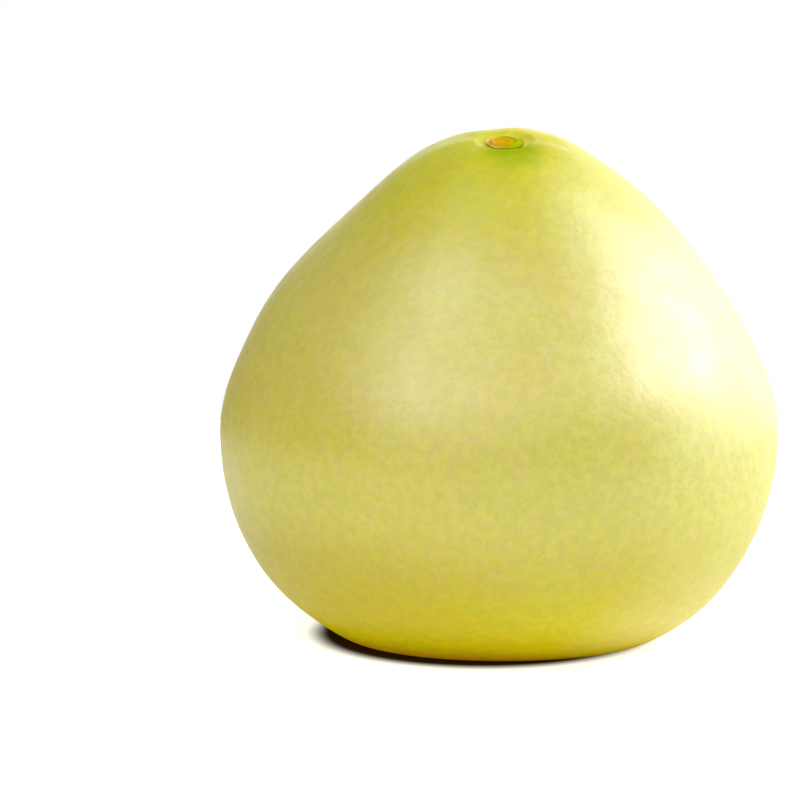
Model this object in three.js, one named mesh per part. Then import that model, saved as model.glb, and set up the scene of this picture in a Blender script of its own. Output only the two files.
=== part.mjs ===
// A whole pomelo, standing on its flattened blossom end.
// It is a broad pear-shaped fruit whose short neck leans a little, with the dried stem button
// (the calyx and the cut end of the stalk) seated in the dimple at its top.
//
// Millimetres, +Z up. The fruit is first worked out upright about its own axis, as a turned
// profile. Broad swells, neck furrows and the lean are then laid over it by formula. Azimuths
// are in degrees: 0 is +X, 90 is +Y, and the neck leans towards -Y.
// The origin is the middle of the bounding box, on the surface that the fruit rests on.

import * as THREE from 'three';
import { mergeVertices } from 'three/addons/utils/BufferGeometryUtils.js';

// ---- Driving dimensions of the body -------------------------------------------------------
const BELLY_RADIUS = 79;          // widest place
const BELLY_HEIGHT = 58.5;        // height of the widest place
const CREST_HEIGHT = 140.4;       // rim of the stem dimple, before the neck leans
const CREST_RADIUS = 9;
const FOOT_RADIUS = 45;           // outer edge of the flat ring that the fruit rests on
const FOOT_RISE = 22;             // degrees, slope of the skin just outside the flat ring

// How far each end of a profile curve keeps its own direction (Bezier handles).
const FOOT_HANDLE = 8;
const BELLY_HANDLE_DOWN = 39;
const BELLY_HANDLE_UP = 32.8;
const CREST_HANDLE = 19;

// ---- Blossom end, underneath --------------------------------------------------------------
const DISH_RADIUS = 26;           // shallow hollow inside the flat ring
const DISH_DEPTH = 2.4;
const SCAR_RADIUS = 3.6;          // low nub that the flower left
const SCAR_HEIGHT = 0.9;

// ---- Stem dimple and stem button ----------------------------------------------------------
const DIMPLE_FLOOR_RADIUS = 5.9;
const DIMPLE_DEPTH = 1;
const BUTTON_GAP = 0.2;           // between the dimple's floor and the button
const BUTTON_RADIUS = 5.4;
const BUTTON_RIM = 0.5;           // thickness at the edge
const COLLAR_RADIUS = 3.4;        // ridge round the cut stalk
const COLLAR_HEIGHT = 0.85;
const STALK_RADIUS = 2.7;         // the cut stalk's sunken end
const STALK_HEIGHT = 0.6;
const LOBE_COUNT = 5;
const LOBE_DEPTH = 0.45;          // how far the calyx edge draws in between its lobes
const LOBE_TURN = 20;             // degrees

// ---- Lean of the neck ---------------------------------------------------------------------
const LEAN = 15.9;                // degrees, at the dimple
const SIDE_SHIFT = 1.2;           // of the dimple, towards +X

// ---- Broad swells and flats of the skin, and the furrows of the neck ----------------------
const SWELLS = [
  { azimuth: 180, height: 118, rise: -1.2, reach: 11, spread: 45 },
  { azimuth: 180, height: 97, rise: 1.2, reach: 12, spread: 45 },
  { azimuth: 0, height: 119, rise: 1.1, reach: 11, spread: 40 },
  { azimuth: 95, height: 92, rise: 1.1, reach: 16, spread: 40 },
  { azimuth: 130, height: 48, rise: -0.9, reach: 18, spread: 35 },
  { azimuth: 0, height: 5, rise: 1.3, reach: 9, spread: 50 },
  { azimuth: -90, height: 2, rise: -4, reach: 9, spread: 60 },
];
// Shoulders beside the dimple, lifted above the turned profile.
const SHOULDERS = [
  { azimuth: 35, radius: 17, rise: 0.8, reach: 7, spread: 45 },
  { azimuth: 150, radius: 26, rise: 0.55, reach: 8, spread: 40 },
];
const FURROW_COUNT = 7;
const FURROW_DEPTH = 0.3;
const FURROW_RADIUS = 17;         // where the furrows are deepest
const FURROW_REACH = 8;

// ---- Facets -------------------------------------------------------------------------------
const AROUND_FRUIT = 76;
const AROUND_BUTTON = 40;

const COLOURS = { skin: 0xd9d465, button: 0xb9862c };

const radians = THREE.MathUtils.degToRad;
const { clamp, smoothstep } = THREE.MathUtils;

// One stretch of a profile: count points evenly along a curve, without its first point.
function along(curve, count) {
  return curve.getSpacedPoints(count).slice(1);
}

function bezier(a, b, c, d) {
  const points = [a, b, c, d].map(([x, y]) => new THREE.Vector2(x, y));
  return new THREE.CubicBezierCurve(...points);
}

// A curve between two points that is level at both ends.
function levelCurve([x0, y0], [x1, y1]) {
  const middle = (x0 + x1) / 2;
  return bezier([x0, y0], [middle, y0], [middle, y1], [x1, y1]);
}

// The upright fruit's profile, from the scar underneath to the middle of the dimple's floor.
function fruitProfile() {
  const dishTop = DISH_DEPTH;
  const scarTop = DISH_DEPTH - SCAR_HEIGHT;
  const rise = radians(FOOT_RISE);
  const footHandle = [
    FOOT_RADIUS + FOOT_HANDLE * Math.cos(rise),
    FOOT_HANDLE * Math.sin(rise),
  ];
  const belly = [BELLY_RADIUS, BELLY_HEIGHT];
  const crest = [CREST_RADIUS, CREST_HEIGHT];
  const floor = [DIMPLE_FLOOR_RADIUS, CREST_HEIGHT - DIMPLE_DEPTH];

  const underside = levelCurve([0, scarTop], [SCAR_RADIUS, dishTop]);
  const dish = levelCurve([SCAR_RADIUS, dishTop], [DISH_RADIUS, 0]);
  const lower = bezier(
    [FOOT_RADIUS, 0],
    footHandle,
    [BELLY_RADIUS, BELLY_HEIGHT - BELLY_HANDLE_DOWN],
    belly,
  );
  const upper = bezier(
    belly,
    [BELLY_RADIUS, BELLY_HEIGHT + BELLY_HANDLE_UP],
    [CREST_RADIUS + CREST_HANDLE, CREST_HEIGHT],
    crest,
  );
  return [
    new THREE.Vector2(0, scarTop),
    ...along(underside, 3),
    ...along(dish, 5),
    new THREE.Vector2(FOOT_RADIUS, 0),
    ...along(lower, 15),
    ...along(upper, 20),
    ...along(levelCurve(crest, floor), 4),
    new THREE.Vector2(0, floor[1]),
  ];
}

// The button's profile, from the middle of its underside to the middle of the cut stalk.
function buttonProfile() {
  const base = CREST_HEIGHT - DIMPLE_DEPTH + BUTTON_GAP;
  const round = BUTTON_RIM / 2;
  const edge = new THREE.Path();
  edge.absarc(BUTTON_RADIUS - round, base + round, round, -Math.PI / 2, Math.PI / 2, false);
  const rim = [BUTTON_RADIUS - round, base + BUTTON_RIM];
  const collar = [COLLAR_RADIUS, base + COLLAR_HEIGHT];
  const stalk = [STALK_RADIUS, base + STALK_HEIGHT];
  return [
    new THREE.Vector2(0, base),
    ...edge.getSpacedPoints(6),
    ...along(levelCurve(rim, collar), 4),
    ...along(levelCurve(collar, stalk), 3),
    new THREE.Vector2(0, base + STALK_HEIGHT),
  ];
}

// Signed difference between two azimuths, in radians.
function azimuthFrom(azimuth, centre) {
  const turn = 2 * Math.PI;
  const difference = azimuth - radians(centre);
  return difference - turn * Math.round(difference / turn);
}

// How far the skin stands out from the turned profile, at a radius, azimuth and height.
function swell(radius, azimuth, height) {
  let rise = 0;
  for (const one of SWELLS) {
    const up = (height - one.height) / one.reach;
    const side = azimuthFrom(azimuth, one.azimuth) / radians(one.spread);
    rise += one.rise * Math.exp(-up * up - side * side);
  }
  const underneath = smoothstep(radius, DISH_RADIUS, FOOT_RADIUS);
  return height < BELLY_HEIGHT ? rise * underneath : rise;
}

// How far the shoulders lift the skin, at a radius and azimuth above the belly.
function shoulder(radius, azimuth, height) {
  if (height < BELLY_HEIGHT) return 0;
  let lift = 0;
  for (const one of SHOULDERS) {
    const off = (radius - one.radius) / one.reach;
    const side = azimuthFrom(azimuth, one.azimuth) / radians(one.spread);
    lift += one.rise * Math.exp(-off * off - side * side);
  }
  return lift;
}

// Furrows that run down the neck from the dimple. They only press in, by up to FURROW_DEPTH.
function furrow(radius, azimuth, height) {
  if (height < BELLY_HEIGHT) return 0;
  const off = (radius - FURROW_RADIUS) / FURROW_REACH;
  const wave = 0.5 + 0.5 * Math.cos(FURROW_COUNT * azimuth + Math.sin(2 * azimuth));
  return -FURROW_DEPTH * wave * Math.exp(-off * off);
}

// Bends the upright fruit so that its neck leans towards -Y. Each level turns as a flat plate
// about the curved middle line.
function lean(point) {
  const length = CREST_HEIGHT - BELLY_HEIGHT;
  const s = clamp((point.z - BELLY_HEIGHT) / length, 0, 1);
  const share = s * s * (3 - 2 * s);
  const travel = length * (s ** 3 - s ** 4 / 2);
  const angle = radians(LEAN) * share;
  const { x, y, z } = point;
  point.x = x + SIDE_SHIFT * share;
  point.y = y * Math.cos(angle) - radians(LEAN) * travel;
  point.z = z + y * Math.sin(angle);
}

// Turns a profile about +Z, moves each vertex by a function of the point, and returns one
// closed geometry: shared vertices merged, and no triangle left with a doubled corner.
function turned(profile, around, move) {
  let geometry = new THREE.LatheGeometry(profile, around);
  geometry.rotateX(Math.PI / 2);
  geometry.deleteAttribute('normal');
  geometry.deleteAttribute('uv');
  geometry = mergeVertices(geometry, 1e-4);

  const corners = geometry.index.array;
  const kept = [];
  for (let i = 0; i < corners.length; i += 3) {
    const [a, b, c] = corners.slice(i, i + 3);
    if (a !== b && b !== c && c !== a) kept.push(a, b, c);
  }
  geometry.setIndex(kept);

  const place = geometry.attributes.position;
  const point = new THREE.Vector3();
  for (let i = 0; i < place.count; i += 1) {
    point.fromBufferAttribute(place, i);
    move(point);
    lean(point);
    place.setXYZ(i, point.x, point.y, point.z);
  }
  geometry.computeVertexNormals();
  return geometry;
}

// Scales a point away from the +Z axis so that its radius changes by the given length.
function widen(point, length) {
  const radius = Math.hypot(point.x, point.y);
  if (radius < 1e-6) return;
  const factor = (radius + length) / radius;
  point.x *= factor;
  point.y *= factor;
}

function moveSkin(point) {
  const radius = Math.hypot(point.x, point.y);
  const azimuth = Math.atan2(point.y, point.x);
  const height = point.z;
  widen(point, swell(radius, azimuth, height));
  point.z += shoulder(radius, azimuth, height) + furrow(radius, azimuth, height);
}

function moveCalyx(point) {
  const radius = Math.hypot(point.x, point.y);
  const azimuth = Math.atan2(point.y, point.x);
  const notch = 0.5 - 0.5 * Math.cos(LOBE_COUNT * (azimuth - radians(LOBE_TURN)));
  const outside = smoothstep(radius, COLLAR_RADIUS, BUTTON_RADIUS);
  widen(point, -LOBE_DEPTH * notch * outside);
}

function makeFruit() {
  const skin = new THREE.MeshStandardMaterial({ color: COLOURS.skin, roughness: 0.42, metalness: 0 });
  const fruit = new THREE.Mesh(turned(fruitProfile(), AROUND_FRUIT, moveSkin), skin);
  fruit.name = 'fruit';
  return fruit;
}

function makeStemButton() {
  const dried = new THREE.MeshStandardMaterial({ color: COLOURS.button, roughness: 0.7, metalness: 0 });
  const button = new THREE.Mesh(turned(buttonProfile(), AROUND_BUTTON, moveCalyx), dried);
  button.name = 'stem_button';
  return button;
}

// The whole fruit, with its bounding box centred over the origin and its foot at z = 0.
const pomelo = new THREE.Group();
pomelo.add(makeFruit(), makeStemButton());
const box = new THREE.Box3().setFromObject(pomelo);
pomelo.position.set(-(box.min.x + box.max.x) / 2, -(box.min.y + box.max.y) / 2, -box.min.z);

export default pomelo;
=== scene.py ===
"""A whole pomelo on a white floor: waxy yellow skin with oil-gland pits, an olive neck, a dried
stem button in the dimple, and the blossom scar underneath.

Lengths of the fruit are in millimetres, as in the part's source, until they become vertices.
Places of the camera, the lights and the floor are in metres.
The skin's shape follows the CAD solid: the same turned profile, swells, furrows and lean.
Azimuths are in degrees: 0 is +X, 90 is +Y, and the neck leans towards -Y.
"""

from math import cos, pi, radians, sin, tan

import bpy
import numpy as np
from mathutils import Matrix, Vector, noise


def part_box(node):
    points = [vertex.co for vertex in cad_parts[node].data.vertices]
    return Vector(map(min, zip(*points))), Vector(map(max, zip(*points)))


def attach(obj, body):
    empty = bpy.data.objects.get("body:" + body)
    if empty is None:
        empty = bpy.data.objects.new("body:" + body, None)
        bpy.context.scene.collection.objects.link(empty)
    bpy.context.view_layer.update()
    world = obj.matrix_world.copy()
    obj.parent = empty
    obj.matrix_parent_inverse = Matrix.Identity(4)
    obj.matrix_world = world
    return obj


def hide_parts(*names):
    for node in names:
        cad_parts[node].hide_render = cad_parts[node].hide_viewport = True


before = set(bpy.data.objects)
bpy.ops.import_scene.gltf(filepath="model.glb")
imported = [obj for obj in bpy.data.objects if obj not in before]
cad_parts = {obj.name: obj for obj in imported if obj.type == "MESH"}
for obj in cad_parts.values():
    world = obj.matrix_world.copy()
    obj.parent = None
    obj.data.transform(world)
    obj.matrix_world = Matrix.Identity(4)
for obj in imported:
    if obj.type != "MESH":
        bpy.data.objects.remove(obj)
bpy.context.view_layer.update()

MM = 0.001                        # metres

# ---- The body's driving dimensions, as in the part's source --------------------------------
BELLY_RADIUS = 79.0
BELLY_HEIGHT = 58.5
CREST_HEIGHT = 140.4
CREST_RADIUS = 9.0
FOOT_RADIUS = 45.0
FOOT_RISE = 22.0                  # degrees
FOOT_HANDLE = 8.0
BELLY_HANDLE_DOWN = 39.0
BELLY_HANDLE_UP = 32.8
CREST_HANDLE = 19.0
DISH_RADIUS = 26.0
DISH_DEPTH = 2.4
SCAR_RADIUS = 3.6
SCAR_HEIGHT = 0.9
DIMPLE_FLOOR_RADIUS = 5.9
DIMPLE_DEPTH = 1.0
LEAN = 15.9                       # degrees
SIDE_SHIFT = 1.2
FURROW_COUNT = 7
FURROW_DEPTH = 0.3
FURROW_RADIUS = 17.0
FURROW_REACH = 8.0
# Broad swells and flats: azimuth, height, rise, reach up and down, spread in degrees.
SWELLS = (
    (180, 118, -1.2, 11, 45),
    (180, 97, 1.2, 12, 45),
    (0, 119, 1.1, 11, 40),
    (95, 92, 1.1, 16, 40),
    (130, 48, -0.9, 18, 35),
    (0, 5, 1.3, 9, 50),
    (-90, 2, -4.0, 9, 60),
)
# Shoulders beside the dimple: azimuth, radius, rise, reach, spread in degrees. The last is a
# lip of skin in front of the stem button, which the solid leaves out.
SHOULDERS = ((35, 17, 0.8, 7, 45), (150, 26, 0.55, 8, 40), (-90, 7.2, 0.7, 1.0, 65))

# ---- The stem button, as in the part's source ----------------------------------------------
BUTTON_GAP = 0.2
SETTLE = 0.14                     # how far the dried disc settles into that gap
BUTTON_RADIUS = 5.4
BUTTON_RIM = 0.5
COLLAR_RADIUS = 3.4
COLLAR_HEIGHT = 0.85
STALK_RADIUS = 2.7
STALK_HEIGHT = 0.6
LOBE_COUNT = 5
LOBE_DEPTH = 0.45
LOBE_TURN = 20.0                  # degrees

# ---- Wear of the button's upper side, lengths in millimetres -------------------------------
FOLD_SIZE = 0.9
FOLD_WEAR = 0.10
FOLD_CONTRAST = 1.6
FIBRE_SIZE = 0.35
FIBRE_WEAR = 0.06
CREASE_WEAR = 0.12
CREASE_SHARPNESS = 12
CREASE_WANDER = 1.5
CREASE_START = 0.8                # outside the collar, where the creases reach full depth
MIDDLE_WEAR = 0.25
MIDDLE_EDGE = (0.3, 0.9)
EDGE_DROOP = 0.24
MOST_WEAR = 0.42
WORN_FROM = (0.25, 0.45)          # heights above the disc's underside between which wear sets in

# ---- Mesh density: points around, and the step along the profile in millimetres ------------
SKIN_AROUND = 440
SKIN_STEP = 1.17
BUTTON_AROUND = 220
BUTTON_STEP = 0.14
CURVE_SAMPLES = 400               # fine points along a curve before it is divided into steps
ROUND_SAMPLES = 60                # fine points round the button's rounded edge

# ---- Camera --------------------------------------------------------------------------------
LENS = 135.0                      # millimetres
SENSOR = 36.0                     # millimetres
CAMERA_DISTANCE = 0.85            # metres from the point it aims at
CAMERA_RISE = 7.5                 # degrees above the level
NEAREST_SEEN = 0.01               # metres
AIM = Vector((-0.0278, 0.0, 0.0664))


# ---- Shape ---------------------------------------------------------------------------------
def bezier(a, b, c, d, step):
    """Points about step apart along a cubic Bezier curve, without its first point."""
    a, b, c, d = (np.array(p, float) for p in (a, b, c, d))
    t = np.linspace(0, 1, CURVE_SAMPLES)[:, None]
    fine = (1 - t) ** 3 * a + 3 * (1 - t) ** 2 * t * b + 3 * (1 - t) * t**2 * c + t**3 * d
    return resample(fine, step)


def resample(fine, step):
    """Evenly spaced points along a fine polyline, without its first point."""
    run = np.concatenate(([0], np.cumsum(np.hypot(*np.diff(fine, axis=0).T))))
    count = max(2, round(run[-1] / step))
    at = np.linspace(0, run[-1], count + 1)[1:]
    return np.column_stack([np.interp(at, run, fine[:, k]) for k in (0, 1)])


def level_curve(start, end, step):
    """A curve between two points that is level at both ends."""
    middle = (start[0] + end[0]) / 2
    return bezier(start, (middle, start[1]), (middle, end[1]), end, step)


def straight(start, end, step):
    """Points about step apart along a straight line, without its first point."""
    return resample(np.array([start, end], float), step)


def fruit_profile(step):
    """Radius and height of the upright fruit, from the scar underneath to the dimple's floor."""
    scar_top = (0.0, DISH_DEPTH - SCAR_HEIGHT)
    scar_edge = (SCAR_RADIUS, DISH_DEPTH)
    dish_edge = (DISH_RADIUS, 0.0)
    foot = (FOOT_RADIUS, 0.0)
    rise = radians(FOOT_RISE)
    foot_handle = (FOOT_RADIUS + FOOT_HANDLE * cos(rise), FOOT_HANDLE * sin(rise))
    belly = (BELLY_RADIUS, BELLY_HEIGHT)
    crest = (CREST_RADIUS, CREST_HEIGHT)
    floor = (DIMPLE_FLOOR_RADIUS, CREST_HEIGHT - DIMPLE_DEPTH)
    below = (BELLY_RADIUS, BELLY_HEIGHT - BELLY_HANDLE_DOWN)
    above = (BELLY_RADIUS, BELLY_HEIGHT + BELLY_HANDLE_UP)
    shoulder = (CREST_RADIUS + CREST_HANDLE, CREST_HEIGHT)
    parts = [
        np.array([scar_top]),
        level_curve(scar_top, scar_edge, step / 2),
        level_curve(scar_edge, dish_edge, step),
        straight(dish_edge, foot, step),
        bezier(foot, foot_handle, below, belly, step),
        bezier(belly, above, shoulder, crest, step),
        level_curve(crest, floor, step / 4),
        straight(floor, (0.0, floor[1]), step),
    ]
    return np.vstack(parts)


def button_profile(step):
    """Radius and height of the button, from under its middle to the middle of the stalk."""
    base = CREST_HEIGHT - DIMPLE_DEPTH + BUTTON_GAP
    round_edge = BUTTON_RIM / 2
    turn = np.linspace(-np.pi / 2, np.pi / 2, ROUND_SAMPLES)
    inner = BUTTON_RADIUS - round_edge
    edge = np.column_stack(
        [inner + round_edge * np.cos(turn), base + round_edge * (1 + np.sin(turn))]
    )
    rim = (inner, base + BUTTON_RIM)
    collar = (COLLAR_RADIUS, base + COLLAR_HEIGHT)
    stalk = (STALK_RADIUS, base + STALK_HEIGHT)
    parts = [
        np.array([(0.0, base)]),
        straight((0.0, base), tuple(edge[0]), step),
        resample(edge, step),
        level_curve(rim, collar, step),
        level_curve(collar, stalk, step),
        straight(stalk, (0.0, base + STALK_HEIGHT), step),
    ]
    return np.vstack(parts)


def smooth(value, low, high):
    """Rises smoothly from 0 at low to 1 at high."""
    share = np.clip((value - low) / (high - low), 0, 1)
    return share * share * (3 - 2 * share)


def azimuth_from(azimuth, centre):
    """The signed turn in radians from a centre in degrees, the short way round."""
    difference = azimuth - np.radians(centre)
    return difference - 2 * np.pi * np.round(difference / (2 * np.pi))


def swell(radius, azimuth, height):
    """How far the skin stands out from the turned profile."""
    rise = 0
    for centre, level, amount, reach, spread in SWELLS:
        up = (height - level) / reach
        side = azimuth_from(azimuth, centre) / np.radians(spread)
        rise = rise + amount * np.exp(-up * up - side * side)
    underneath = smooth(radius, DISH_RADIUS, FOOT_RADIUS)
    return np.where(height < BELLY_HEIGHT, rise * underneath, rise)


def shoulder(radius, azimuth, height):
    """How far the shoulders lift the skin beside the dimple."""
    lift = 0
    for centre, middle, rise, reach, spread in SHOULDERS:
        off = (radius - middle) / reach
        side = azimuth_from(azimuth, centre) / np.radians(spread)
        lift = lift + rise * np.exp(-off * off - side * side)
    return np.where(height < BELLY_HEIGHT, 0, lift)


def furrow(radius, azimuth, height):
    """Furrows that run down the neck from the dimple. They only press in."""
    off = (radius - FURROW_RADIUS) / FURROW_REACH
    wave = 0.5 + 0.5 * np.cos(FURROW_COUNT * azimuth + np.sin(2 * azimuth))
    return np.where(height < BELLY_HEIGHT, 0, -FURROW_DEPTH * wave * np.exp(-off * off))


def lean(x, y, z):
    """Bends the upright fruit so that its neck leans towards -Y."""
    length = CREST_HEIGHT - BELLY_HEIGHT
    up = np.clip((z - BELLY_HEIGHT) / length, 0, 1)
    share = up * up * (3 - 2 * up)
    travel = length * (up**3 - up**4 / 2)
    angle = radians(LEAN) * share
    return np.stack(
        [x + SIDE_SHIFT * share, y * np.cos(angle) - radians(LEAN) * travel, z + y * np.sin(angle)],
        axis=-1,
    )


def turned_grid(profile, around):
    """Radius, azimuth and height of every ring's points, without the two ends on the axis."""
    azimuth = np.arange(around) * (2 * np.pi / around)
    radius, height = (profile[1:-1, k][:, None] + 0 * azimuth for k in (0, 1))
    return radius, azimuth + 0 * radius, height


def closed_faces(rings, around):
    """Quads between the rings, and a fan of triangles at each end."""
    ring = np.arange(rings - 1)[:, None] * around
    step = np.arange(around)[None, :]
    following = (step + 1) % around
    quads = np.stack(
        [ring + step, ring + following, ring + around + following, ring + around + step], axis=-1
    )
    bottom = rings * around
    top = bottom + 1
    last = (rings - 1) * around
    faces = [tuple(q) for q in quads.reshape(-1, 4).tolist()]
    faces += [(bottom, (k + 1) % around, k) for k in range(around)]
    faces += [(top, last + k, last + (k + 1) % around) for k in range(around)]
    return faces


def make_object(name, vertices, faces):
    """A smooth-shaded mesh object from vertices in metres."""
    mesh = bpy.data.meshes.new(name)
    mesh.from_pydata(vertices.tolist(), [], faces)
    mesh.shade_smooth()
    obj = bpy.data.objects.new(name, mesh)
    bpy.context.scene.collection.objects.link(obj)
    return obj


def vertex_normals(points, rings, around):
    """Outward unit normals of the ring points, from their neighbours."""
    grid = points.reshape(rings, around, 3)
    along = np.gradient(grid, axis=0)
    across = np.roll(grid, -1, axis=1) - np.roll(grid, 1, axis=1)
    normal = np.cross(across, along)
    return (normal / np.linalg.norm(normal, axis=-1, keepdims=True)).reshape(-1, 3)


def turned_points(profile, around, shape):
    """The ring points and the two end points after shape and lean, and how many rings."""
    radius, azimuth, height = turned_grid(profile, around)
    moved_radius, moved_height = shape(radius, azimuth, height)
    rings = lean(moved_radius * np.cos(azimuth), moved_radius * np.sin(azimuth), moved_height)
    _, end_height = shape(np.zeros(2), np.zeros(2), profile[[0, -1], 1])
    ends = lean(np.zeros(2), np.zeros(2), end_height)
    return rings.reshape(-1, 3), ends, radius.shape[0]


# ---- Skin relief ---------------------------------------------------------------------------
# Wavelength and depth in millimetres of each layer of unevenness. It only presses in.
RELIEF = ((34.0, 0.34), (13.0, 0.12), (6.2, 0.05), (3.6, 0.03))
RELIEF_CONTRAST = 1.4
RELIEF_SETS_IN = (0.2, 4.0)       # heights between which the relief sets in above the foot


def noise_at(points):
    """Blender's noise, about -1 to 1, at each row of points."""
    return np.array([noise.noise(p) for p in points.tolist()])


def relief_depth(points):
    """How far the skin is pressed in at each point."""
    depth = np.zeros(len(points))
    for wavelength, amount in RELIEF:
        value = noise_at(points / wavelength)
        depth += amount * (0.5 + 0.5 * np.clip(value * RELIEF_CONTRAST, -1, 1))
    return depth


def make_fruit():
    """The skin: the turned profile with its swells, shoulders, furrows, lean and relief."""
    profile = fruit_profile(SKIN_STEP)

    def shape(radius, azimuth, height):
        outward = radius + swell(radius, azimuth, height)
        lift = shoulder(radius, azimuth, height) + furrow(radius, azimuth, height)
        return outward, height + lift

    points, ends, rings = turned_points(profile, SKIN_AROUND, shape)
    normals = vertex_normals(points, rings, SKIN_AROUND)
    footing = smooth(points[:, 2], *RELIEF_SETS_IN)
    points -= normals * (relief_depth(points) * footing)[:, None]
    vertices = np.vstack([points, ends]) * MM
    return make_object("pomelo_skin", vertices, closed_faces(rings, SKIN_AROUND))


def make_stem_button():
    """The calyx disc with wrinkled lobes, and the fibrous cut end of the stalk."""
    profile = button_profile(BUTTON_STEP)

    def shape(radius, azimuth, height):
        notch = 0.5 - 0.5 * np.cos(LOBE_COUNT * (azimuth - radians(LOBE_TURN)))
        outside = smooth(radius, COLLAR_RADIUS, BUTTON_RADIUS)
        worn = button_wear(radius, azimuth, height)
        return radius - LOBE_DEPTH * notch * outside, height - SETTLE - worn

    points, ends, rings = turned_points(profile, BUTTON_AROUND, shape)
    vertices = np.vstack([points, ends]) * MM
    return make_object("dried_stem_button", vertices, closed_faces(rings, BUTTON_AROUND))


def button_wear(radius, azimuth, height):
    """How far the button's upper side is worn down, in mm: folds, creases and broken fibres."""
    base = CREST_HEIGHT - DIMPLE_DEPTH + BUTTON_GAP
    upper = smooth(height - base, *WORN_FROM)
    x, y = radius * np.cos(azimuth), radius * np.sin(azimuth)
    flat = np.column_stack([x.ravel(), y.ravel(), 0 * x.ravel()])
    folds = noise_at(flat / FOLD_SIZE).reshape(x.shape)
    fibres = noise_at(flat / FIBRE_SIZE).reshape(x.shape)
    lobes = LOBE_COUNT * (azimuth - radians(LOBE_TURN))
    crease = np.cos(lobes + CREASE_WANDER * folds) ** CREASE_SHARPNESS
    crease = crease * smooth(radius, COLLAR_RADIUS, COLLAR_RADIUS + CREASE_START)
    middle = 1 - smooth(radius, *MIDDLE_EDGE)
    edge = smooth(radius, COLLAR_RADIUS, BUTTON_RADIUS)
    worn = FOLD_WEAR * (0.5 + 0.5 * np.clip(FOLD_CONTRAST * folds, -1, 1))
    worn = worn + FIBRE_WEAR * (0.5 + 0.5 * fibres) + CREASE_WEAR * crease
    worn = worn + MIDDLE_WEAR * middle + EDGE_DROOP * edge
    return upper * np.minimum(worn, MOST_WEAR)


# ---- Materials -----------------------------------------------------------------------------
class Shading:
    """A small helper that builds one material's node tree."""

    def __init__(self, name):
        self.material = bpy.data.materials.new(name)
        self.material.use_nodes = True
        self.tree = self.material.node_tree
        self.shader = self.tree.nodes["Principled BSDF"]
        self.place = self.node("ShaderNodeTexCoord").outputs["Object"]

    def node(self, kind, **settings):
        """Adds a node of that kind with those settings."""
        made = self.tree.nodes.new(kind)
        for key, value in settings.items():
            setattr(made, key, value)
        return made

    def feed(self, socket, value):
        """Links a socket to another, or sets it to a plain value."""
        if isinstance(value, bpy.types.NodeSocket):
            self.tree.links.new(value, socket)
        else:
            socket.default_value = value

    def maths(self, operation, first, second=0.0):
        """One step of arithmetic."""
        made = self.node("ShaderNodeMath", operation=operation)
        self.feed(made.inputs[0], first)
        self.feed(made.inputs[1], second)
        return made.outputs[0]

    def spread(self, value, low, high, to_low=0.0, to_high=1.0):
        """Maps a value smoothly from one range to another."""
        made = self.node("ShaderNodeMapRange", interpolation_type="SMOOTHSTEP")
        for socket, number in zip(made.inputs[:5], (value, low, high, to_low, to_high)):
            self.feed(socket, number)
        return made.outputs[0]

    def blend(self, amount, first, second):
        """Mixes two colours."""
        made = self.node("ShaderNodeMix", data_type="RGBA")
        self.feed(made.inputs[0], amount)
        self.feed(made.inputs[6], first)
        self.feed(made.inputs[7], second)
        return made.outputs[2]

    def clouds(self, size, detail):
        """Noise from 0 to 1 with features of about that many millimetres."""
        made = self.node("ShaderNodeTexNoise")
        self.feed(made.inputs["Vector"], self.place)
        made.inputs["Scale"].default_value = 1 / (size * MM)
        made.inputs["Detail"].default_value = detail
        return made.outputs["Fac"]

    def cells(self, size):
        """Distance from the nearest of scattered points about size mm apart, in shares of size."""
        made = self.node("ShaderNodeTexVoronoi", feature="SMOOTH_F1")
        self.feed(made.inputs["Vector"], self.place)
        made.inputs["Scale"].default_value = 1 / (size * MM)
        made.inputs["Smoothness"].default_value = 0.6
        return made.outputs["Distance"]

    def distance(self, point):
        """Distance in millimetres from a point of the frame."""
        made = self.node("ShaderNodeVectorMath", operation="DISTANCE")
        self.feed(made.inputs[0], self.place)
        made.inputs[1].default_value = point
        return self.maths("MULTIPLY", made.outputs["Value"], 1 / MM)

    def coordinates(self):
        """X, Y and Z in millimetres."""
        made = self.node("ShaderNodeSeparateXYZ")
        self.feed(made.inputs[0], self.place)
        return [self.maths("MULTIPLY", made.outputs[k], 1 / MM) for k in (0, 1, 2)]

    def bump(self, value, depth, below=None):
        """Turns a value from 0 to 1 into relief of that depth in millimetres."""
        made = self.node("ShaderNodeBump")
        made.inputs["Strength"].default_value = 1.0
        made.inputs["Distance"].default_value = depth * MM
        self.feed(made.inputs["Height"], value)
        if below is not None:
            self.feed(made.inputs["Normal"], below)
        return made.outputs["Normal"]


def rgba(red, green, blue):
    """An opaque colour from linear parts."""
    return (red, green, blue, 1.0)


# ---- The skin's look -----------------------------------------------------------------------
YELLOW = rgba(0.56, 0.475, 0.012)
WARM = rgba(0.57, 0.446, 0.009)
LIME = rgba(0.555, 0.522, 0.014)
BELT = rgba(0.64, 0.61, 0.02)
FOOT = rgba(0.63, 0.50, 0.002)
# Painted shade: the orange-brown of the underside where the fruit meets the floor.
PAINTED_CONTACT_SHADE = rgba(0.76, 0.30, 0.001)
GREEN = rgba(0.275, 0.36, 0.003)
OLIVE = rgba(0.53, 0.545, 0.013)
PALE_OLIVE = rgba(0.61, 0.60, 0.033)
# Painted light on the dimple's far rim.
RIM_PAINTED_LIGHT = rgba(0.67, 0.60, 0.03)
# Pale wax bloom, and painted sheen where it grows stronger on the lit right side.
BLOOM_AND_SHEEN = rgba(0.86, 0.86, 0.78)
VIVID = rgba(0.55, 0.50, 0.004)
TAN = rgba(0.60, 0.48, 0.085)
GLAND = rgba(0.36, 0.34, 0.01)
SCAR_TAN = rgba(0.30, 0.17, 0.05)

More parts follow.
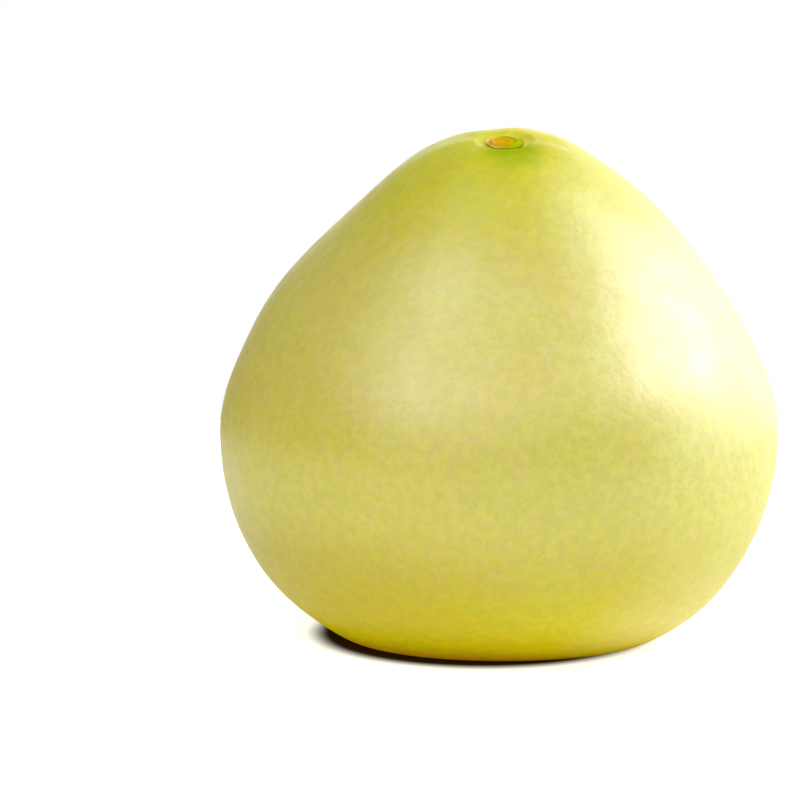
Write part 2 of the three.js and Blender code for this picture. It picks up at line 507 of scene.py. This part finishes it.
# Sizes of its patterns in millimetres.
MOTTLE_SIZE = 22
EDGE_SIZE = 7
SPECK_SIZE = 3.2
SHADE_SIZE = 2.8
FLECK_SIZE = 2.6
GLAND_SIZE = 1.4
# The most that the mottling adds to X, and how far the edges of the tints round the stem run
# in and out, in millimetres.
MOTTLE_SHIFT = 40
EDGE_SHIFT = 8
# Where a tint, painted shade or light, or the wax sets in or fades: two places, then its strength
# at each of them, which is 0 and 1 where none is given. The places are in millimetres: heights
# above the floor, places along X, and distances from a point. For the sides of the warm tint,
# the neck and the bloom with its painted sheen, the mottling's shift is first added to X. For the
# neck, the green and the dull and rubbed places, the edge's shift is first taken off the distance.
WARM_HEIGHTS = (70, 105, 0.75, 0.15)
WARM_SIDE = (0, 60, 1.0, 0.0)
BELT_SETS_IN = (28, 44)
BELT_FADES = (56, 74, 0.45, 0.0)
FOOT_HEIGHTS = (0, 32, 0.9, 0.0)
PAINTED_SHADE_HEIGHTS = (0.3, 4.0, 0.95, 0.0)
PAINTED_SHADE_SIDE = (0, 30, 1.0, 0.3)
TAN_HEIGHTS = (8, 45)
NECK_REACH = (6, 48, 0.6, 0.0)
NECK_SIDE = (10, 36)
RIM_LIGHT_REACH = (5, 13, 0.9, 0.0)
GREEN_REACH = (-2, 9, 0.95, 0.0)
BLOOM_SETS_IN = (22, 95)
BLOOM_FADES = (100, 135, 1.0, 0.0)
# Painted sheen: the bloom grows stronger towards the lit right side.
PAINTED_SHEEN_SIDE = (10, 75, 0.06, 0.16)
FLECK_HEIGHTS = (88, 118, 0.32, 0.15)
SCAR_REACH = (2, 6, 1.0, 0.0)
WAX_HEIGHTS = (6, 48)
WAX_SIDE = (12, 52)
WAX_FOOT = (1, 13)
DULL_REACH = (0, 14)
RUBBED_REACH = (31, 54, 0.46, 1.0)
RUBBED_SIDE = (-4, 16)
# The same for values of a pattern, which run from 0 to about 1. The last one's strengths are
# the roughness.
PATCHES = (0.35, 0.65)
VIVID_SPECKS = (0.52, 0.66, 0.0, 0.8)
TAN_SPECKS = (0.34, 0.48, 0.55, 0.0)
GLAND_DOTS = (0.1, 0.5, 1.0, 0.0)
GLAND_PITS = (0.1, 0.7)
DARK_SHADE = (0.35, 0.65, 0.22, 0.0)
ROUGHNESS = (0.3, 0.7, 0.39, 0.45)
# From the middle of the stem button to the middles of the green, dull and painted-light places,
# metres.
GREEN_OFFSET = Vector((0.0022, -0.0074, -0.0014))
DULL_OFFSET = Vector((0.001, -0.0064, -0.001))
RIM_LIGHT_OFFSET = Vector((0.006, 0.006, 0.0))
# Depths of the relief in millimetres, and the wax's refractive index.
COARSE_DEPTH = 0.045
PIT_DEPTH = 0.016
SKIN_IOR = 1.6


def ground_colour(look, x, z, mottle, side):
    """Yellow and lime patches, warmer low on the left, a pale belt, a deep yellow foot and an
    orange-brown painted shade on the underside where the fruit meets the floor, which shows from
    the side as a thin line."""
    colour = look.blend(look.spread(mottle, *PATCHES), YELLOW, LIME)
    lower = look.spread(z, *WARM_HEIGHTS)
    warmth = look.maths("MULTIPLY", look.spread(side, *WARM_SIDE), lower)
    colour = look.blend(warmth, colour, WARM)
    belt = look.maths("MULTIPLY", look.spread(z, *BELT_SETS_IN), look.spread(z, *BELT_FADES))
    colour = look.blend(belt, colour, BELT)
    colour = look.blend(look.spread(z, *FOOT_HEIGHTS), colour, FOOT)
    # Painted shade: an orange-brown tint on the lowest millimetres, where the fruit meets the
    # floor.
    lowest = look.spread(z, *PAINTED_SHADE_HEIGHTS)
    contact = look.maths("MULTIPLY", lowest, look.spread(x, *PAINTED_SHADE_SIDE))
    return look.blend(contact, colour, PAINTED_CONTACT_SHADE)


def speckled(look, z, colour):
    """Small vivid and tan specks. The tan ones fade towards the foot."""
    specks = look.clouds(SPECK_SIZE, detail=3.0)
    colour = look.blend(look.spread(specks, *VIVID_SPECKS), colour, VIVID)
    tanned = look.spread(specks, *TAN_SPECKS)
    return look.blend(look.maths("MULTIPLY", tanned, look.spread(z, *TAN_HEIGHTS)), colour, TAN)


def stem_end_colour(look, stem, side, uneven, from_stem, colour):
    """The olive neck, painted light that brightens the dimple's far rim, and the green in front
    of the button.
    """
    neck = look.blend(look.spread(side, *NECK_SIDE), OLIVE, PALE_OLIVE)
    colour = look.blend(look.spread(from_stem, *NECK_REACH), colour, neck)
    # Painted light: a pale patch that brightens the dimple's far rim, which is in shade.
    from_rim_light = look.distance(stem + RIM_LIGHT_OFFSET)
    colour = look.blend(look.spread(from_rim_light, *RIM_LIGHT_REACH), colour, RIM_PAINTED_LIGHT)
    from_green = look.maths("ADD", look.distance(stem + GREEN_OFFSET), uneven)
    return look.blend(look.spread(from_green, *GREEN_REACH), colour, GREEN)


def bloomed_with_sheen(look, z, side, colour):
    """The pale bloom of wax above the belly, and painted sheen that adds to it on the lit right
    side.
    """
    bloom = look.maths("MULTIPLY", look.spread(z, *BLOOM_SETS_IN), look.spread(z, *BLOOM_FADES))
    # Painted sheen: more of the pale bloom towards the lit right side.
    bloom = look.maths("MULTIPLY", bloom, look.spread(side, *PAINTED_SHEEN_SIDE))
    return look.blend(bloom, colour, BLOOM_AND_SHEEN)


def gland_colour(look, z, glands, colour):
    """Darker flecks over the oil glands, fainter on the neck, and a soft uneven shade."""
    dots = look.spread(glands, *GLAND_DOTS)
    flecks = look.maths("MULTIPLY", dots, look.clouds(FLECK_SIZE, detail=2.0))
    depth = look.spread(z, *FLECK_HEIGHTS)
    colour = look.blend(look.maths("MULTIPLY", flecks, depth), colour, GLAND)
    shade = look.spread(look.clouds(SHADE_SIZE, detail=2.0), *DARK_SHADE)
    return look.blend(shade, colour, GLAND)


def wax_level(look, x, z, stem, uneven, from_stem):
    """How glossy the skin is: dull at the foot and the stem, rubbed on the neck's left side."""
    waxy = look.maths("MAXIMUM", look.spread(z, *WAX_HEIGHTS), look.spread(x, *WAX_SIDE))
    waxy = look.maths("MULTIPLY", waxy, look.spread(z, *WAX_FOOT))
    from_dull = look.maths("ADD", look.distance(stem + DULL_OFFSET), uneven)
    waxy = look.maths("MULTIPLY", waxy, look.spread(from_dull, *DULL_REACH))
    from_neck = look.spread(from_stem, *RUBBED_REACH)
    rubbed = look.maths("MAXIMUM", from_neck, look.spread(x, *RUBBED_SIDE))
    return look.maths("MULTIPLY", waxy, rubbed)


def skin_material(stem, scar):
    """Waxy peel: yellow, warmer at the foot, green round the stem, pitted by oil glands."""
    look = Shading("pomelo_peel")
    x, _, z = look.coordinates()
    mottle = look.clouds(MOTTLE_SIZE, detail=3.0)
    side = look.maths("ADD", x, look.maths("MULTIPLY", mottle, MOTTLE_SHIFT))
    uneven = look.maths("MULTIPLY", look.clouds(EDGE_SIZE, detail=3.0), -EDGE_SHIFT)
    from_stem = look.maths("ADD", look.distance(stem), uneven)
    glands = look.cells(GLAND_SIZE)

    colour = speckled(look, z, ground_colour(look, x, z, mottle, side))
    colour = stem_end_colour(look, stem, side, uneven, from_stem, colour)
    colour = bloomed_with_sheen(look, z, side, colour)
    colour = gland_colour(look, z, glands, colour)
    colour = look.blend(look.spread(look.distance(scar), *SCAR_REACH), colour, SCAR_TAN)
    look.feed(look.shader.inputs["Base Color"], colour)

    coarse = look.bump(look.clouds(SHADE_SIZE, detail=1.0), COARSE_DEPTH)
    pits = look.bump(look.spread(glands, *GLAND_PITS), PIT_DEPTH, coarse)
    look.feed(look.shader.inputs["Normal"], pits)
    roughness = look.spread(look.clouds(EDGE_SIZE, detail=2.0), *ROUGHNESS)
    look.feed(look.shader.inputs["Roughness"], roughness)
    look.shader.inputs["IOR"].default_value = SKIN_IOR
    waxy = wax_level(look, x, z, stem, uneven, from_stem)
    look.feed(look.shader.inputs["Specular IOR Level"], waxy)
    return look.material


# ---- The stem button's look ----------------------------------------------------------------
CORE = rgba(0.56, 0.33, 0.003)
CORE_RED = rgba(0.62, 0.34, 0.03)
CORE_DARK = rgba(0.50, 0.24, 0.004)
CALYX_TAN = rgba(0.78, 0.55, 0.20)
CALYX_GREEN = rgba(0.33, 0.39, 0.003)
# From the middle of the button to the middle of the orange part, in metres.
CORE_OFFSET = Vector((-0.0010, -0.0010, 0.0))
# Patterns and edges in millimetres. The sides are counted from the middle of the button.
CALYX_EDGE_SIZE = 1.6
CALYX_EDGE_SHIFT = 2.4
TAN_SIDE = (-2.2, 1.2)
RED_SIDE = (-2.6, 1.0)
DARK_SIZE = 0.7
DARK_PATCHES = (0.5, 0.68)        # values of the pattern between which the dark sets in
CORE_EDGE = (3.6, 5.2)
GRAIN_SIZE = 0.5
GRAIN_DEPTH = 0.1
CALYX_ROUGHNESS = 0.6


def stem_material(centre):
    """Dried calyx: a tan lobe and green lobes round the orange end of the cut stalk."""
    look = Shading("dried_calyx")
    x = look.coordinates()[0]
    across = look.maths("SUBTRACT", x, centre[0] / MM)
    uneven = look.maths("MULTIPLY", look.clouds(CALYX_EDGE_SIZE, detail=3.0), CALYX_EDGE_SHIFT)
    side = look.maths("ADD", across, uneven)
    lobes = look.blend(look.spread(side, *TAN_SIDE), CALYX_TAN, CALYX_GREEN)
    core = look.blend(look.spread(side, *RED_SIDE), CORE_RED, CORE)
    dark = look.spread(look.clouds(DARK_SIZE, detail=3.0), *DARK_PATCHES)
    core = look.blend(dark, core, CORE_DARK)
    ragged = look.maths("MULTIPLY", uneven, 0.5)
    ragged = look.maths("ADD", look.distance(centre + CORE_OFFSET), ragged)
    colour = look.blend(look.spread(ragged, *CORE_EDGE), core, lobes)
    look.feed(look.shader.inputs["Base Color"], colour)
    grain = look.bump(look.clouds(GRAIN_SIZE, detail=3.0), GRAIN_DEPTH)
    look.feed(look.shader.inputs["Normal"], grain)
    look.shader.inputs["Roughness"].default_value = CALYX_ROUGHNESS
    look.shader.inputs["Specular IOR Level"].default_value = 0.0
    return look.material


# ---- Stage ---------------------------------------------------------------------------------
# Brightness of the world for the fruit, and of the floor for the fruit and for the camera.
AMBIENT = 0.27
GLOW = 0.2
NEAR_GLOW = 0.4
CAMERA_GLOW = 0.7
FLOOR_RADIUS = 0.45
FLOOR_SIDES = 96
# The painted contact shadow on the floor: its middle in metres, and mm from there between which it
# ends.
PAINTED_SHADOW_CENTRE = (-0.005, -0.0024, 0.0)
PAINTED_SHADOW_EDGE = (43.0, 51.0)
# The floor's light for the fruit: its middle in metres, and mm from there.
GLOW_CENTRE = (0.0, 0.002, 0.0)
GLOW_STARTS = (41, 47)
GLOW_FADES = (50, 110)
# The painted shadow's colour, then the floor's own white.
PAINTED_SHADOW_BROWN = rgba(0.04, 0.02, 0.005)
FLOOR_WHITE = rgba(0.78, 0.78, 0.78)
LIGHT_WHITE = rgba(1, 1, 1)
# Name, azimuth, elevation, half width and half height in degrees, radiance.
SOFTBOXES = (
    ("key_softbox", 22.0, 30.0, 11.5, 7.5, 8.6),
    ("upper_softbox", 1.0, 44.5, 13.5, 9.5, 8.6),
    ("wide_softbox", 22.0, 12.0, 36.0, 18.0, 2.6),
    ("left_softbox", -111.0, 45.0, 29.0, 24.0, 1.5),
    ("left_fill", -111.0, 9.0, 30.0, 9.0, 0.8),
    ("left_spot", -145.0, 46.0, 14.0, 14.0, 1.4),
    ("top_spot", -147.0, 65.0, 12.0, 12.0, 1.85),
    ("front_spot", -72.0, 66.0, 12.0, 12.0, 0.45),
    ("back_panel", 80.0, 7.6, 28.0, 28.0, 1.3),
)
SOFTBOX_DISTANCE = 2.5            # metres from the point that they face
SOFTBOX_AIM = Vector((0.0, 0.0, 0.07))


def make_floor():
    """A white light table: it glows outside the painted contact shadow, which is a dark brown
    patch round the fruit's foot.
    """
    turn = np.arange(FLOOR_SIDES) * (2 * np.pi / FLOOR_SIDES)
    edge = np.column_stack([FLOOR_RADIUS * np.cos(turn), FLOOR_RADIUS * np.sin(turn), 0 * turn])
    floor = make_object("floor", edge, [tuple(range(FLOOR_SIDES))])
    look = Shading("light_table")
    look.shader.inputs["Roughness"].default_value = 0.8
    look.shader.inputs["Specular IOR Level"].default_value = 0.0
    look.shader.inputs["Emission Color"].default_value = LIGHT_WHITE
    seen = look.node("ShaderNodeLightPath").outputs["Is Camera Ray"]
    # Painted shadow: inside this the floor is dark brown and does not glow to the camera.
    beyond_painted_shadow = look.spread(look.distance(PAINTED_SHADOW_CENTRE), *PAINTED_SHADOW_EDGE)
    from_middle = look.distance(GLOW_CENTRE)
    near = look.spread(from_middle, *GLOW_FADES, NEAR_GLOW, GLOW)
    near = look.maths("MULTIPLY", near, look.spread(from_middle, *GLOW_STARTS))
    to_camera = look.maths("MULTIPLY", seen, look.maths("MULTIPLY", beyond_painted_shadow, CAMERA_GLOW))
    to_fruit = look.maths("MULTIPLY", look.maths("SUBTRACT", 1.0, seen), near)
    look.feed(look.shader.inputs["Emission Strength"], look.maths("ADD", to_camera, to_fruit))
    look.feed(look.shader.inputs["Base Color"], look.blend(beyond_painted_shadow, PAINTED_SHADOW_BROWN, FLOOR_WHITE))
    floor.data.materials.append(look.material)


def toward(azimuth, elevation):
    """The unit direction at that azimuth and elevation in degrees."""
    turn, rise = radians(azimuth), radians(elevation)
    return Vector((cos(turn) * cos(rise), sin(turn) * cos(rise), sin(rise)))


def make_softbox(name, azimuth, elevation, half_width, half_height, radiance):
    """An area light that fills that angle as seen from the fruit."""
    data = bpy.data.lights.new(name, "AREA")
    data.shape = "RECTANGLE"
    data.size = 2 * SOFTBOX_DISTANCE * tan(radians(half_width))
    data.size_y = 2 * SOFTBOX_DISTANCE * tan(radians(half_height))
    data.energy = radiance * pi * data.size * data.size_y
    light = bpy.data.objects.new(name, data)
    direction = toward(azimuth, elevation)
    light.location = SOFTBOX_AIM + direction * SOFTBOX_DISTANCE
    light.rotation_euler = direction.to_track_quat("Z", "Y").to_euler()
    bpy.context.scene.collection.objects.link(light)


def make_light():
    """The softboxes, and a world that is white to the camera and dimmer for the fruit."""
    for box in SOFTBOXES:
        make_softbox(*box)
    world = bpy.data.worlds.new("studio")
    world.use_nodes = True
    tree = world.node_tree
    background = tree.nodes["Background"]
    background.inputs["Color"].default_value = LIGHT_WHITE
    path = tree.nodes.new("ShaderNodeLightPath")
    strength = tree.nodes.new("ShaderNodeMapRange")
    strength.inputs["To Min"].default_value = AMBIENT
    strength.inputs["To Max"].default_value = 1.0
    tree.links.new(path.outputs["Is Camera Ray"], strength.inputs["Value"])
    tree.links.new(strength.outputs["Result"], background.inputs["Strength"])
    bpy.context.scene.world = world


def make_camera():
    """The photograph's view: from the front, a little above the level."""
    data = bpy.data.cameras.new("camera")
    data.lens = LENS
    data.sensor_width = SENSOR
    data.sensor_fit = "AUTO"
    data.clip_start = NEAREST_SEEN
    camera = bpy.data.objects.new("camera", data)
    back = toward(-90, CAMERA_RISE)
    camera.location = AIM + back * CAMERA_DISTANCE
    camera.rotation_euler = back.to_track_quat("Z", "Y").to_euler()
    bpy.context.scene.collection.objects.link(camera)
    bpy.context.scene.camera = camera


def node_centre(node):
    """The middle of a CAD node's box."""
    low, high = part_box(node)
    return (low + high) / 2


# ---- Build ---------------------------------------------------------------------------------
make_camera()
make_light()
make_floor()

stem_point = node_centre("stem_button")
scar_point = Vector((0.0, 0.0, DISH_DEPTH * MM))

skin = make_fruit()
skin.data.materials.append(skin_material(stem_point, scar_point))
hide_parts("fruit")
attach(skin, "root")

button = make_stem_button()
button.data.materials.append(stem_material(stem_point))
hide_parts("stem_button")
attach(button, "root")

bpy.context.scene.view_settings.view_transform = "Standard"
